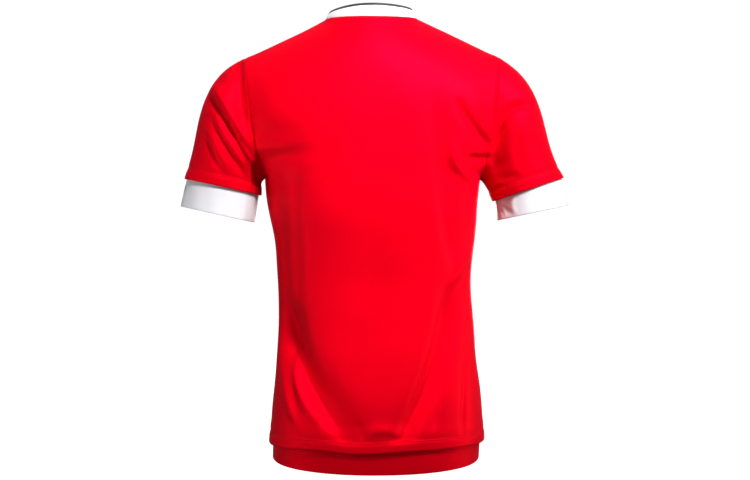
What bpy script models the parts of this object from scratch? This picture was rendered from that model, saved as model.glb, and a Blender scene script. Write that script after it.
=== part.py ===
"""A short-sleeved football jersey, hollow, in the shape it keeps on its wearer.

The wearer faces -Y, their left is +X and +Z is up. The origin lies between the shoulders, level
with the back of the neckline. Tables and sizes are in millimetres, and the meshes in metres.

The cloth of the body and the sleeves is one smooth sheet, cut along its seams into panels. Each
panel is a grid of points on that sheet, given a wall along normals that neighbours share, so that
two panels meet with a straight, even gap.
"""

import math

import bpy
import numpy as np

MM = 0.001
WALL = 2.0
SEAM_GAP = 0.35

# How finely the panels are divided.
HALF_COLUMNS = 14  # from the middle of a panel to its side
NECK_COLUMNS = 6  # of them, those that end on the neckline
BODY_ROWS = 18  # from the hem to the underarm
ARMHOLE_LOW_ROWS = 5  # from the underarm to the armhole's widest place
ARMHOLE_HIGH_ROWS = 6  # from there to the shoulder seam
SLEEVE_ROWS = 8
CUFF_ROWS = 2  # below the sleeve's hem
RELAXING = 4  # passes that even out the shoulders
COLLAR_ROWS = 2
BAND_ROWS = 3
ARC_STEPS = 400

# The body's level sections: half widths to each side seam, depths to the middle of each panel.
SECTION_COLUMNS = ("height", "left", "right", "back", "front")
SECTIONS = (
    (-700, 159, 160, 118, 111),
    (-630, 157, 163, 119, 111),
    (-585, 154, 161, 115, 110),
    (-523, 149, 153, 105, 110),
    (-462, 146, 149, 98, 112),
    (-401, 148, 145, 98, 116),
    (-340, 152, 151, 105, 121),
    (-310, 158, 154, 109, 124),
    (-275, 165, 156, 113, 127),
    (-246, 167, 159, 116, 128),
    (-150, 168, 160, 111, 123),
)
BACK_SQUARENESS = 2.5
FRONT_SQUARENESS = 2.3

# Lower edge of the body and of its band, where they hang at the back, the sides and the front.
EDGE_COLUMNS = ("back", "side", "front")
BODY_EDGE = (-653, -646, -650)
BAND_EDGE = (-687, -667, -679)
BAND_TUCK = 14  # the band reaches this far up inside the body
BAND_INSET = 3.4
BLOUSE = 2.5  # the body swells out over the band
BLOUSE_HEIGHT = 40

UNDERARM_HEIGHT = -246
ARMHOLE_BACK = 66  # the armhole's reach behind and before the side seam
ARMHOLE_FRONT = 58
ARMHOLE_FALL = 0.6  # how its seam runs in from the shoulder to the underarm

# The neckline: the middle of the back, the middle of the front, and the neck point on each side.
NECK_MIDDLE = 6
NECK_BACK = (58, -4)  # depth, height
NECK_FRONT = (-92, -86)
NECK_POINT_DEPTH = -4
SHOULDER_SAG = 0.8  # how far a shoulder seam hangs below a straight line
COLLAR_HEIGHT = (21, 13.5, 21)  # at the back, the sides and the front
COLLAR_LEAN = (0.28, 0.50, 0.95)

# Each side's armhole and sleeve, seen square on. The cap and the fall are how far the sleeve
# runs straight from the shoulder and into its hem, and their angles are below level and off plumb.
SIDE_COLUMNS = (
    "name", "way", "neck", "neck_height", "shoulder", "shoulder_height",
    "cap", "cap_angle", "fall", "fall_angle", "inner_angle",
)
SIDES = (
    ("left", 1, 69, -3, 198, -63, 82, 23, 96, 18, 6),
    ("right", -1, 69, -1, 188, -60, 94, 31, 80, 31, 24),
)
# Where each hem crosses the arm's outer and inner line: out, height.
HEM_COLUMNS = ("name", "outer", "outer_height", "inner", "inner_height", "half_depth")
SLEEVE_HEMS = (
    ("left", 290, -247, 174.5, -272, 51),
    ("right", 288, -245, 181, -281, 51),
)
CUFF_HEMS = (
    ("left", 296, -289, 185, -313, 48),
    ("right", 295, -287, 188, -310, 48),
)
SHOULDER_DEPTH = -8
SLEEVE_MIDDLE = 2  # how far behind the side seams the arms hang
UNDERARM_RUN = 9  # how far the sleeve runs straight at the underarm
UNDERARM_ANGLE = 85  # off plumb, where it leaves the body there
CUFF_INSET = 3.7
CUFF_TUCK = 12

# The largest folds, each along a line seen square on. Depth is how far a trough goes in.
FOLD_COLUMNS = ("panel", "from_x", "from_z", "to_x", "to_z", "depth", "half_width")
FOLDS = (
    ("back", 132, -440, 26, -612, 6.0, 17),
    ("back", 118, -468, 44, -606, -3.5, 13),
    ("back", 124, -500, 96, -612, 4.0, 12),
    ("back", -92, -470, -48, -612, 4.0, 14),
    ("back", -66, -480, -30, -606, -3.0, 13),
    ("back", -105, -552, -84, -612, 3.0, 12),
    ("back", 112, -235, 106, -400, 3.0, 18),
    ("back", -132, -146, -172, -184, 4.0, 14),
    ("front", 128, -450, 40, -606, 5.0, 17),
    ("front", 104, -480, 60, -600, -3.0, 14),
    ("front", -124, -462, -58, -612, 4.5, 16),
    ("front", -98, -520, -30, -606, -3.0, 14),
    ("front", 128, -150, 96, -250, 4.0, 18),
    ("front", -126, -156, -90, -244, 3.5, 18),
    ("back", 247, -116, 196, -196, 4.5, 13),
    ("back", 240, -158, 206, -224, -3.0, 12),
    ("back", -232, -146, -192, -172, 4.0, 13),
    ("back", -206, -204, -178, -232, 3.0, 12),
    ("front", 240, -118, 192, -190, 4.0, 14),
    ("front", -236, -120, -188, -196, 4.0, 14),
)


def rows_of(columns, table):
    return [dict(zip(columns, row)) for row in table]


def eased(value):
    value = np.clip(value, 0.0, 1.0)
    return value * value * (3 - 2 * value)


def unit(vectors):
    return vectors / np.linalg.norm(vectors, axis=-1, keepdims=True)


def section_at(height):
    """The section table at one height, with a smooth curve through its rows."""
    table = np.array(SECTIONS, float)
    heights = table[:, 0]
    slopes = np.gradient(table[:, 1:], heights, axis=0)
    height = float(np.clip(height, heights[0], heights[-1]))
    row = int(np.clip(np.searchsorted(heights, height) - 1, 0, len(heights) - 2))
    span = heights[row + 1] - heights[row]
    part = (height - heights[row]) / span
    values = (
        table[row, 1:] * (1 + 2 * part) * (1 - part) ** 2
        + slopes[row] * span * part * (1 - part) ** 2
        + table[row + 1, 1:] * part**2 * (3 - 2 * part)
        - slopes[row + 1] * span * part**2 * (1 - part)
    )
    return dict(zip(SECTION_COLUMNS[1:], values))


def armhole_point(side, panel, turn):
    """A point of the armhole seam: turn runs from 0 at the shoulder to pi at the underarm."""
    fall = (1 + math.cos(turn)) / 2
    middle = (side["shoulder_height"] + UNDERARM_HEIGHT) / 2
    reach = (side["shoulder_height"] - UNDERARM_HEIGHT) / 2
    swing = ARMHOLE_BACK if panel == "back" else -ARMHOLE_FRONT
    under = section_at(UNDERARM_HEIGHT)[side["name"]]
    return np.array([
        side["way"] * (under + (side["shoulder"] - under) * fall**ARMHOLE_FALL),
        swing * math.sin(turn) ** 0.9 + SHOULDER_DEPTH * fall,
        middle + reach * math.cos(turn),
    ])


def half_section(side, panel, height, end):
    """Level points from the middle of a panel to its end, evenly apart along the curve."""
    sizes = section_at(height)
    depth = sizes[panel]
    power = BACK_SQUARENESS if panel == "back" else FRONT_SQUARENESS
    rise = abs(end[1]) / depth
    width = abs(end[0]) / (1 - rise**power) ** (1 / power)
    turn = np.linspace(math.pi / 2, math.asin(min(rise ** (power / 2), 1)), ARC_STEPS)
    across = width * np.maximum(np.cos(turn), 0) ** (2 / power)
    out = depth * np.sin(turn) ** (2 / power)
    steps = np.hypot(np.diff(across), np.diff(out))
    along = np.concatenate([[0], np.cumsum(steps)]) / steps.sum()
    stations = np.linspace(0, 1, HALF_COLUMNS + 1)
    way = 1 if panel == "back" else -1
    return np.column_stack([
        side["way"] * np.interp(stations, along, across),
        way * np.interp(stations, along, out),
        np.full(HALF_COLUMNS + 1, float(height)),
    ])


def edge_heights(edge, panel):
    """Heights of a lower edge from the middle of a panel to its side seam."""
    middle = edge[EDGE_COLUMNS.index(panel)]
    side = edge[EDGE_COLUMNS.index("side")]
    return middle + (side - middle) * np.linspace(0, 1, HALF_COLUMNS + 1) ** 2


def neckline_and_shoulder(side, panel):
    """The top edge of a half panel: round the neckline, then out along the shoulder seam."""
    depth, height = NECK_BACK if panel == "back" else NECK_FRONT
    turn = np.linspace(0, math.pi / 2, NECK_COLUMNS + 1)
    drop = np.cos(turn)
    neck = np.column_stack([
        NECK_MIDDLE + side["way"] * side["neck"] * np.sin(turn),
        NECK_POINT_DEPTH + (depth - NECK_POINT_DEPTH) * drop,
        side["neck_height"] + (height - side["neck_height"]) * drop**1.3,
    ])
    end = armhole_point(side, panel, 0)
    part = np.linspace(0, 1, HALF_COLUMNS - NECK_COLUMNS + 1)[1:, None]
    shoulder = neck[-1] + (end - neck[-1]) * part
    shoulder[:, 2:] -= SHOULDER_SAG * np.sin(math.pi * part)
    return np.vstack([neck, shoulder])


def upper_half(side, panel):
    """Rows from the armhole's widest place up over the shoulder blade or the chest."""
    base = half_section(side, panel, *widest_row(side, panel))
    top = neckline_and_shoulder(side, panel)
    inward = -1 if panel == "back" else 1
    place = np.linspace(0, 1, HALF_COLUMNS + 1)
    neck_share = 1 - eased(place / (NECK_COLUMNS / HALF_COLUMNS) * 0.9)
    steep = np.radians(50 * neck_share)
    arrive = np.column_stack([np.zeros_like(steep), inward * np.cos(steep), np.sin(steep)])
    rise = np.linalg.norm(top - base, axis=1)[:, None]
    lift = np.array([0.0, 0.0, 1.0])
    first = base + lift * rise * 0.36
    last = top - arrive * rise * (0.34 - 0.1 * neck_share[:, None])
    rows = []
    for step in range(1, ARMHOLE_HIGH_ROWS + 1):
        part = step / ARMHOLE_HIGH_ROWS
        row = (
            base * (1 - part) ** 3
            + first * 3 * part * (1 - part) ** 2
            + last * 3 * part**2 * (1 - part)
            + top * part**3
        )
        seam = armhole_point(side, panel, math.pi / 2 * (1 - part))
        row += (seam - row[-1]) * eased((place[:, None] - 0.4) / 0.6)
        rows.append(row)
    return rows


def widest_row(side, panel):
    """Height and end point of the row that meets the armhole where it is widest."""
    end = armhole_point(side, panel, math.pi / 2)
    return end[2], end


def half_panel(side, panel):
    """Rows of points, hem to shoulder, each from the middle of the panel to its side."""
    rows = []
    edge = edge_heights(BODY_EDGE, panel)
    lowest = min(BODY_EDGE)
    for step in range(BODY_ROWS + 1):
        part = step / BODY_ROWS
        height = lowest + (UNDERARM_HEIGHT - lowest) * part
        row = half_section(side, panel, height, (section_at(height)[side["name"]], 0))
        row[:, 2] = edge + (UNDERARM_HEIGHT - edge) * part
        rows.append(row)
    for step in range(1, ARMHOLE_LOW_ROWS + 1):
        end = armhole_point(side, panel, math.pi * (1 - step / ARMHOLE_LOW_ROWS / 2))
        rows.append(half_section(side, panel, end[2], end))
    return np.array(rows + upper_half(side, panel))


def whole_panel(panel):
    """Both halves joined at the middle. Columns run clockwise seen from above."""
    halves = [half_panel(side, panel) for side in rows_of(SIDE_COLUMNS, SIDES)]
    left, right = halves
    left[:, 0] = right[:, 0] = (left[:, 0] + right[:, 0]) / 2
    if panel == "back":
        return relaxed(np.concatenate([right[:, :0:-1], left], axis=1))
    return relaxed(np.concatenate([left[:, :0:-1], right], axis=1))


def relaxed(panel):
    """The panel with its rows over the shoulders evened out, its edges kept."""
    start = BODY_ROWS + 1
    for _ in range(RELAXING):
        middle = panel[start:-1, 1:-1]
        beside = panel[start:-1, :-2] + panel[start:-1, 2:]
        above = panel[start - 1:-2, 1:-1] + panel[start + 1:, 1:-1]
        panel[start:-1, 1:-1] = middle / 2 + (beside + above) / 8
    return panel


def armhole_loop(side, back, front):
    """The armhole's points as the body has them, once round, from the shoulder."""
    on_back, on_front = (-1, 0) if side["way"] > 0 else (0, -1)
    down_back = back[:BODY_ROWS - 1:-1, on_back]
    down_front = front[:BODY_ROWS - 1:-1, on_front]
    if side["way"] > 0:
        return np.concatenate([down_back, down_front[-2:0:-1]])
    return np.concatenate([down_front, down_back[-2:0:-1]])


def ring_turns():
    """Angles round a sleeve, from its outer line over the back on the left, the front on the right."""
    return np.linspace(0, 2 * math.pi, 2 * (ARMHOLE_LOW_ROWS + ARMHOLE_HIGH_ROWS) + 1)[:-1, None]


def hem_ring(side, hems, inset=0.0):
    """A hem as a slanting oval, drawn in all round by the inset."""
    hem = next(row for row in rows_of(HEM_COLUMNS, hems) if row["name"] == side["name"])
    outer = np.array([side["way"] * hem["outer"], SLEEVE_MIDDLE, hem["outer_height"]])
    inner = np.array([side["way"] * hem["inner"], SLEEVE_MIDDLE, hem["inner_height"]])
    across = (outer - inner) / 2
    back = np.array([0.0, side["way"] * hem["half_depth"], 0.0])
    turns = ring_turns()
    ring = np.cos(turns) * across * (1 - inset / np.linalg.norm(across))
    ring = ring + np.sin(turns) * back * (1 - inset / hem["half_depth"])
    return (outer + inner) / 2 + ring


def hem_directions(side):
    """The way the cloth runs into the sleeve's hem, for each point of the ring."""
    under = (1 - np.cos(ring_turns())) / 2
    angles = np.radians(side["fall_angle"] * (1 - under) + side["inner_angle"] * under)
    return np.hstack([side["way"] * np.sin(angles), np.zeros_like(angles), -np.cos(angles)])


def sleeve(side, armhole):
    """Rings from the armhole to the hem, full over the shoulder and short at the underarm."""
    turns = ring_turns()
    under = (1 - np.cos(turns)) / 2
    hem = hem_ring(side, SLEEVE_HEMS)
    run = hem_directions(side)
    cap = math.radians(side["cap_angle"])
    over_shoulder = np.array([side["way"] * math.cos(cap), 0.0, -math.sin(cap)])
    slant = math.radians(UNDERARM_ANGLE)
    at_underarm = np.array([side["way"] * math.sin(slant), 0.0, -math.cos(slant)])
    leave = unit(over_shoulder * (1 - under) + at_underarm * under)
    leave = leave + side["way"] * np.sin(turns) * np.array([0.0, 0.22, 0.0])
    first = armhole + leave * (side["cap"] * (1 - under) + UNDERARM_RUN * under)
    last = hem - run * (side["fall"] * (1 - under) + UNDERARM_RUN * under)
    rings = []
    for step in range(SLEEVE_ROWS + 1):
        part = step / SLEEVE_ROWS
        rings.append(
            armhole * (1 - part) ** 3
            + first * 3 * part * (1 - part) ** 2
            + last * 3 * part**2 * (1 - part)
            + hem * part**3
        )
    return np.array(rings)


def cuff(side):
    """Rings from inside the sleeve's hem down to the cuff's own."""
    inside = hem_ring(side, SLEEVE_HEMS, CUFF_INSET)
    foot = hem_ring(side, CUFF_HEMS)
    parts = np.linspace(0, 1, CUFF_ROWS + 1)
    rings = [inside - hem_directions(side) * CUFF_TUCK]
    rings += [inside + (foot - inside) * part for part in parts]
    return np.array(rings)


def collar(back, front):
    """Rings up from the neckline, leaning in towards the neck."""
    neck = slice(HALF_COLUMNS - NECK_COLUMNS, HALF_COLUMNS + NECK_COLUMNS + 1)
    loop = np.concatenate([back[-1, neck], front[-1, neck][1:-1]])
    middle = loop.mean(axis=0)
    inward = middle - loop
    inward[:, 2] = 0
    inward = unit(inward)
    depth = inward[:, 1]
    lean, height = (
        np.where(
            depth < 0,
            at_side + (at_back - at_side) * depth**2,
            at_side + (at_front - at_side) * depth**2,
        )[:, None]
        for at_back, at_side, at_front in (COLLAR_LEAN, COLLAR_HEIGHT)
    )
    rise = unit(inward * lean + np.array([0.0, 0.0, 1.0])) * height
    return np.array([loop + rise * part for part in np.linspace(0, 1, COLLAR_ROWS + 1)])


def hem_band():
    """Rings round the hips, from inside the body's lower edge down to the band's own edge."""
    rings = []
    left, right = rows_of(SIDE_COLUMNS, SIDES)
    quarters = (
        (right, "back", -1), (left, "back", 1), (left, "front", -1), (right, "front", 1),
    )
    for step in range(BAND_ROWS + 1):
        part = step / BAND_ROWS
        ring = []
        for side, panel, order in quarters:
            top = edge_heights(BODY_EDGE, panel) + BAND_TUCK
            foot = edge_heights(BAND_EDGE, panel)
            height = float(np.mean(top + (foot - top) * part))
            row = half_section(side, panel, height, (section_at(height)[side["name"]], 0))
            row[:, :2] *= 1 - BAND_INSET / np.linalg.norm(row[:, :2], axis=1)[:, None]
            row[:, 2] = top + (foot - top) * part
            ring.append(row[::order][:-1])
        rings.append(np.concatenate(ring))
    return np.array(rings)[::-1]


def grid_faces(rows, columns, closed):
    """Corner indices of each square of a grid, facing out of the garment."""
    faces = []
    for row in range(rows - 1):
        for column in range(columns if closed else columns - 1):
            beside = (column + 1) % columns
            corners = (row * columns + column, (row + 1) * columns + column,
                       (row + 1) * columns + beside, row * columns + beside)
            faces.append(corners)
    return np.array(faces)


def shared_normals(grids):
    """Normals of each grid's points, averaged over every panel that meets there."""
    points = np.concatenate([grid.reshape(-1, 3) for grid, _ in grids])
    faces = []
    offset = 0
    for grid, closed in grids:
        faces.append(grid_faces(grid.shape[0], grid.shape[1], closed) + offset)
        offset += grid.shape[0] * grid.shape[1]
    faces = np.concatenate(faces)
    _, same = np.unique(np.round(points, 3), axis=0, return_inverse=True)
    same = same.reshape(-1)
    corners = points[faces]
    face_normals = unit(np.cross(corners[:, 1] - corners[:, 3], corners[:, 2] - corners[:, 0]))
    sums = np.zeros((same.max() + 1, 3))
    for corner in range(4):
        np.add.at(sums, same[faces[:, corner]], face_normals)
    normals = unit(sums)[same]
    pieces = []
    offset = 0
    for grid, _ in grids:
        count = grid.shape[0] * grid.shape[1]
        pieces.append(normals[offset:offset + count].reshape(grid.shape))
        offset += count
    return pieces


def folded(points, normals):
    """The points moved in at each trough and out at each ridge."""
    shift = np.zeros(points.shape[:-1])
    for fold in rows_of(FOLD_COLUMNS, FOLDS):
        start = np.array([fold["from_x"], fold["from_z"]], float)
        run = np.array([fold["to_x"], fold["to_z"]], float) - start
        from_start = points[..., [0, 2]] - start
        part = from_start @ run / (run @ run)
        beside = np.linalg.norm(from_start - part[..., None] * run, axis=-1)
        across = np.exp(-((beside / fold["half_width"]) ** 2))
        length = eased((part + 0.1) / 0.35) * eased((1.1 - part) / 0.35)
        facing = normals[..., 1] * (1 if fold["panel"] == "back" else -1)
        shift -= fold["depth"] * across * length * eased(facing * 1.6)
    return points + normals * shift[..., None]


def bloused(points, normals):
    """The body swelling out just above its lower edge."""
    above = points[..., 2] - min(BODY_EDGE)
    swell = BLOUSE * np.cos(np.clip(above / BLOUSE_HEIGHT, 0, 1) * math.pi / 2)
    return points + normals * swell[..., None]


def parted(grid, normals, closed, edges):
    """The grid with the named edges drawn back by half a seam gap, square to each stretch of seam."""
    result = grid.copy()
    lines = {
        "first": ((0, slice(None)), (1, slice(None))),
        "last": ((-1, slice(None)), (-2, slice(None))),
        "start": ((slice(None), 0), (slice(None), 1)),
        "end": ((slice(None), -1), (slice(None), -2)),
    }
    for edge in edges:
        outermost, next_in = lines[edge]
        line = grid[outermost]
        before = np.roll(line, 1, axis=0)
        after = np.roll(line, -1, axis=0)
        if not closed:
            before[0] = 2 * line[0] - line[1]
            after[-1] = 2 * line[-1] - line[-2]
        earlier = unit(np.cross(normals[outermost], line - before))
        later = unit(np.cross(normals[outermost], after - line))
        both = (earlier + later) / (1 + np.sum(earlier * later, axis=-1, keepdims=True))
        toward = np.sum(both * (grid[next_in] - line), axis=-1, keepdims=True)
        result[outermost] += both * np.sign(toward) * SEAM_GAP / 2
    return result


def rim(points, first, second, count):
    """The wall's edge between two neighbours, split from the lower one's outer point.

    Both pieces at a seam split it alike, so that neither leans into the other.
    """
    if points[first, 2] < points[second, 2]:
        return [(first, second, second + count), (first, second + count, first + count)]
    return [(first, second, first + count), (second, second + count, first + count)]


def walled(grid, normals, closed):
    """Points and faces of the wall that the grid runs through the middle of."""
    rows, columns = grid.shape[:2]
    outer = (grid + normals * WALL / 2).reshape(-1, 3)
    inner = (grid - normals * WALL / 2).reshape(-1, 3)
    points = np.concatenate([outer, inner])
    count = rows * columns
    faces = [tuple(face) for face in grid_faces(rows, columns, closed)]
    faces += [(a + count, d + count, c + count, b + count) for a, b, c, d in faces]
    last = (rows - 1) * columns
    for column in range(columns if closed else columns - 1):
        beside = (column + 1) % columns
        faces += rim(points, column, beside, count)
        faces += rim(points, last + beside, last + column, count)
    if not closed:
        for row in range(rows - 1):
            low, high = row * columns, (row + 1) * columns
            faces += rim(points, high, low, count)
            faces += rim(points, low + columns - 1, high + columns - 1, count)
    return points, faces


def cloth(name, colour, roughness):
    material = bpy.data.materials.new(name)
    material.use_nodes = True
    shader = material.node_tree.nodes["Principled BSDF"]
    shader.inputs["Base Color"].default_value = (*colour, 1.0)
    shader.inputs["Roughness"].default_value = roughness
    shader.inputs["Metallic"].default_value = 0.0
    material.diffuse_color = (*colour, 1.0)
    return material


def add_piece(name, grid, normals, closed, material):
    points, faces = walled(grid, normals, closed)
    mesh = bpy.data.meshes.new(name)
    mesh.from_pydata((points * MM).tolist(), [], faces)
    mesh.materials.append(material)
    mesh.shade_smooth()
    mesh.set_sharp_from_angle(angle=math.radians(50))
    piece = bpy.data.objects.new(name, mesh)
    bpy.context.scene.collection.objects.link(piece)


def clear_scene():
    for existing in list(bpy.data.objects):
        bpy.data.objects.remove(existing, do_unlink=True)


def build_jersey():
    clear_scene()
    red = cloth("red_polyester", (0.78, 0.0, 0.03), 0.5)
    white = cloth("white_rib", (0.9, 0.89, 0.92), 0.65)
    left, right = rows_of(SIDE_COLUMNS, SIDES)

    back = whole_panel("back")
    front = whole_panel("front")
    sheet = {
        "back": (back, False, red, ("last", "start", "end")),
        "front": (front, False, red, ("last", "start", "end")),
        "sleeve_left": (sleeve(left, armhole_loop(left, back, front)), True, red, ("first",)),
        "sleeve_right": (sleeve(right, armhole_loop(right, back, front)), True, red, ("first",)),
        "collar": (collar(back, front), True, white, ("first",)),
    }
    smooth = shared_normals([(grid, closed) for grid, closed, _, _ in sheet.values()])
    shaped = []
    for (name, (grid, closed, _, _)), normals in zip(sheet.items(), smooth):
        if name != "collar":
            grid = bloused(folded(grid, normals), normals)
        shaped.append((grid, closed))
    finished = shared_normals(shaped)
    for (name, (_, closed, material, edges)), (grid, _), normals in zip(
        sheet.items(), shaped, finished
    ):
        add_piece(name, parted(grid, normals, closed, edges), normals, closed, material)

    for name, grid, material in (
        ("cuff_left", cuff(left), white),
        ("cuff_right", cuff(right), white),
        ("hem_band", hem_band(), red),
    ):
        add_piece(name, grid, shared_normals([(grid, True)])[0], True, material)


build_jersey()
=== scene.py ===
"""A short-sleeved football jersey in red, with white cuffs and collar, as it sits on its wearer.

The wearer faces -Y, their left is +X and +Z is up. Sizes are in millimetres until a mesh is made.
"""

import math

import bpy
import numpy as np
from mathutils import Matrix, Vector


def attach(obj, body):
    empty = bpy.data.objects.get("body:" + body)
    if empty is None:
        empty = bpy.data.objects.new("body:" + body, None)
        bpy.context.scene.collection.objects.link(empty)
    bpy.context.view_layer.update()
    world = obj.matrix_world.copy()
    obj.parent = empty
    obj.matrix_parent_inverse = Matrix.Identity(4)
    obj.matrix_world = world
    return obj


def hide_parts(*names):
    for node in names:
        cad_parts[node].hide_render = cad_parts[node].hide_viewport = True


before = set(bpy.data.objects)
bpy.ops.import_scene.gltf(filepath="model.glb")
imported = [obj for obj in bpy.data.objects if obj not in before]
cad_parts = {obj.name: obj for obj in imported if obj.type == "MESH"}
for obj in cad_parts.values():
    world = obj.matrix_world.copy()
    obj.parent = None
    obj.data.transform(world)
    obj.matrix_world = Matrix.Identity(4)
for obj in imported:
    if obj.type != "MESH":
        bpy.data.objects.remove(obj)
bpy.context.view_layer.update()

# ------------------------------------------------------------------------------ the body's shape
# Back and front are two panels of fine knitted polyester, each cut in one piece from side seam to
# side seam. Sewn at the sides and shoulders, they hang on the wearer as one smooth tube, so each
# is drawn here as a net of lines over that tube: rows go round it and columns go up it.

MM = 0.001
HALF_COLUMNS = 14  # from the middle of a panel to its side
NECK_COLUMNS = 6  # of these, along half the neckline
BODY_ROWS = 18  # from the hem to the underarm
ARMHOLE_LOW_ROWS = 5  # from there to the armhole's widest place
ARMHOLE_HIGH_ROWS = 6  # and on to the shoulder
RELAXING = 4  # how many times the rows over the shoulders are evened out
ARC_STEPS = 400

# Level sections of the body: half widths to each side seam, depths to the middle of each panel.
SECTION_COLUMNS = ("height", "left", "right", "back", "front")
SECTIONS = (
    (-700, 159, 160, 118, 111),
    (-630, 157, 163, 119, 111),
    (-585, 154, 161, 115, 110),
    (-523, 149, 153, 105, 110),
    (-462, 146, 149, 98, 112),
    (-401, 148, 145, 98, 116),
    (-340, 152, 151, 105, 121),
    (-310, 158, 154, 109, 124),
    (-275, 165, 156, 112, 126.5),
    (-246, 167, 159, 113.5, 127),
    (-150, 168, 160, 111, 123),
)
SQUARENESS = {"back": 2.5, "front": 2.3}  # 2 is an ellipse
EDGE_COLUMNS = ("back", "side", "front")
BODY_EDGE = (-653, -646, -650)
UNDERARM_HEIGHT = -246
ARMHOLE_SWING = {"back": 66, "front": -58}  # how far it bows out behind and before the side
ARMHOLE_BOW = 0.9
ARMHOLE_FALL = 0.6
NECK_MIDDLE = 6
NECK = {"back": (58, -4), "front": (-92, -86)}  # depth and height at the middle of each panel
NECK_POINT_DEPTH = -4
NECK_DROP = 1.3  # above 1, most of the drop is near the middle
NECK_STEEPNESS = 50  # degrees from level at which the cloth comes in to the neckline
NECK_REACH = 0.9
# How strongly the cloth is led plumb up from the chest or the shoulder blade, then in to its top
# edge, and how much less so beside the neck.
PLUMB_LEAD, TOP_LEAD, NECK_LEAD_LESS = 0.36, 0.34, 0.1
SEAM_START = 0.4  # how far out a row begins to be led to the armhole seam
SHOULDER_SAG = 0.8
SHOULDER_DEPTH = -8
SIDE_COLUMNS = (
    "name", "way", "neck", "neck_height", "shoulder", "shoulder_height",
    "cap", "cap_angle", "fall", "fall_angle", "inner_angle",
)
SIDES = (
    ("left", 1, 69, -3, 198, -63, 82, 23, 96, 18, 6),
    ("right", -1, 69, -1, 188, -60, 94, 31, 80, 31, 24),
)


def rows_of(columns, table):
    """The rows of a table, each a dictionary by the table's named columns."""
    return [dict(zip(columns, row)) for row in table]


def eased(value):
    """A smooth step from 0 to 1."""
    value = np.clip(value, 0.0, 1.0)
    return value * value * (3 - 2 * value)


def unit(vectors):
    return vectors / np.maximum(np.linalg.norm(vectors, axis=-1, keepdims=True), 1e-9)


def section_at(height):
    """The section table at one height, with a smooth curve through its rows."""
    table = np.array(SECTIONS, float)
    heights = table[:, 0]
    slopes = np.gradient(table[:, 1:], heights, axis=0)
    height = float(np.clip(height, heights[0], heights[-1]))
    row = int(np.clip(np.searchsorted(heights, height) - 1, 0, len(heights) - 2))
    span = heights[row + 1] - heights[row]
    part = (height - heights[row]) / span
    values = (
        table[row, 1:] * (1 + 2 * part) * (1 - part) ** 2
        + slopes[row] * span * part * (1 - part) ** 2
        + table[row + 1, 1:] * part**2 * (3 - 2 * part)
        - slopes[row + 1] * span * part**2 * (1 - part)
    )
    return dict(zip(SECTION_COLUMNS[1:], values))


def led_curve(start, leave, arrive, end, part):
    """A smooth curve from start to end, led away by one point and in by another."""
    return (
        start * (1 - part) ** 3
        + leave * 3 * part * (1 - part) ** 2
        + arrive * 3 * part**2 * (1 - part)
        + end * part**3
    )


def armhole_point(side, panel, turn):
    """A point of the armhole seam: turn runs from 0 at the shoulder to pi at the underarm."""
    fall = (1 + math.cos(turn)) / 2
    middle = (side["shoulder_height"] + UNDERARM_HEIGHT) / 2
    reach = (side["shoulder_height"] - UNDERARM_HEIGHT) / 2
    under = section_at(UNDERARM_HEIGHT)[side["name"]]
    return np.array([
        side["way"] * (under + (side["shoulder"] - under) * fall**ARMHOLE_FALL),
        ARMHOLE_SWING[panel] * math.sin(turn) ** ARMHOLE_BOW + SHOULDER_DEPTH * fall,
        middle + reach * math.cos(turn),
    ])


def half_section(side, panel, height, end):
    """Level points from the middle of a panel to its end, evenly apart along the curve."""
    depth = section_at(height)[panel]
    power = SQUARENESS[panel]
    rise = abs(end[1]) / depth
    width = abs(end[0]) / (1 - rise**power) ** (1 / power)
    turn = np.linspace(math.pi / 2, math.asin(min(rise ** (power / 2), 1)), ARC_STEPS)
    across = width * np.maximum(np.cos(turn), 0) ** (2 / power)
    out = depth * np.sin(turn) ** (2 / power)
    steps = np.hypot(np.diff(across), np.diff(out))
    along = np.concatenate([[0], np.cumsum(steps)]) / steps.sum()
    stations = np.linspace(0, 1, HALF_COLUMNS + 1)
    way = 1 if panel == "back" else -1
    return np.column_stack([
        side["way"] * np.interp(stations, along, across),
        way * np.interp(stations, along, out),
        np.full(HALF_COLUMNS + 1, float(height)),
    ])


def edge_heights(edge, panel):
    """Heights of a lower edge from the middle of a panel to its side seam."""
    middle = edge[EDGE_COLUMNS.index(panel)]
    side = edge[EDGE_COLUMNS.index("side")]
    return middle + (side - middle) * np.linspace(0, 1, HALF_COLUMNS + 1) ** 2


def neckline_and_shoulder(side, panel):
    """The top edge of a half panel: round the neckline, then out along the shoulder seam."""
    depth, height = NECK[panel]
    turn = np.linspace(0, math.pi / 2, NECK_COLUMNS + 1)
    drop = np.cos(turn)
    neck = np.column_stack([
        NECK_MIDDLE + side["way"] * side["neck"] * np.sin(turn),
        NECK_POINT_DEPTH + (depth - NECK_POINT_DEPTH) * drop,
        side["neck_height"] + (height - side["neck_height"]) * drop**NECK_DROP,
    ])
    end = armhole_point(side, panel, 0)
    part = np.linspace(0, 1, HALF_COLUMNS - NECK_COLUMNS + 1)[1:, None]
    shoulder = neck[-1] + (end - neck[-1]) * part
    shoulder[:, 2:] -= SHOULDER_SAG * np.sin(math.pi * part)
    return np.vstack([neck, shoulder])


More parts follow.
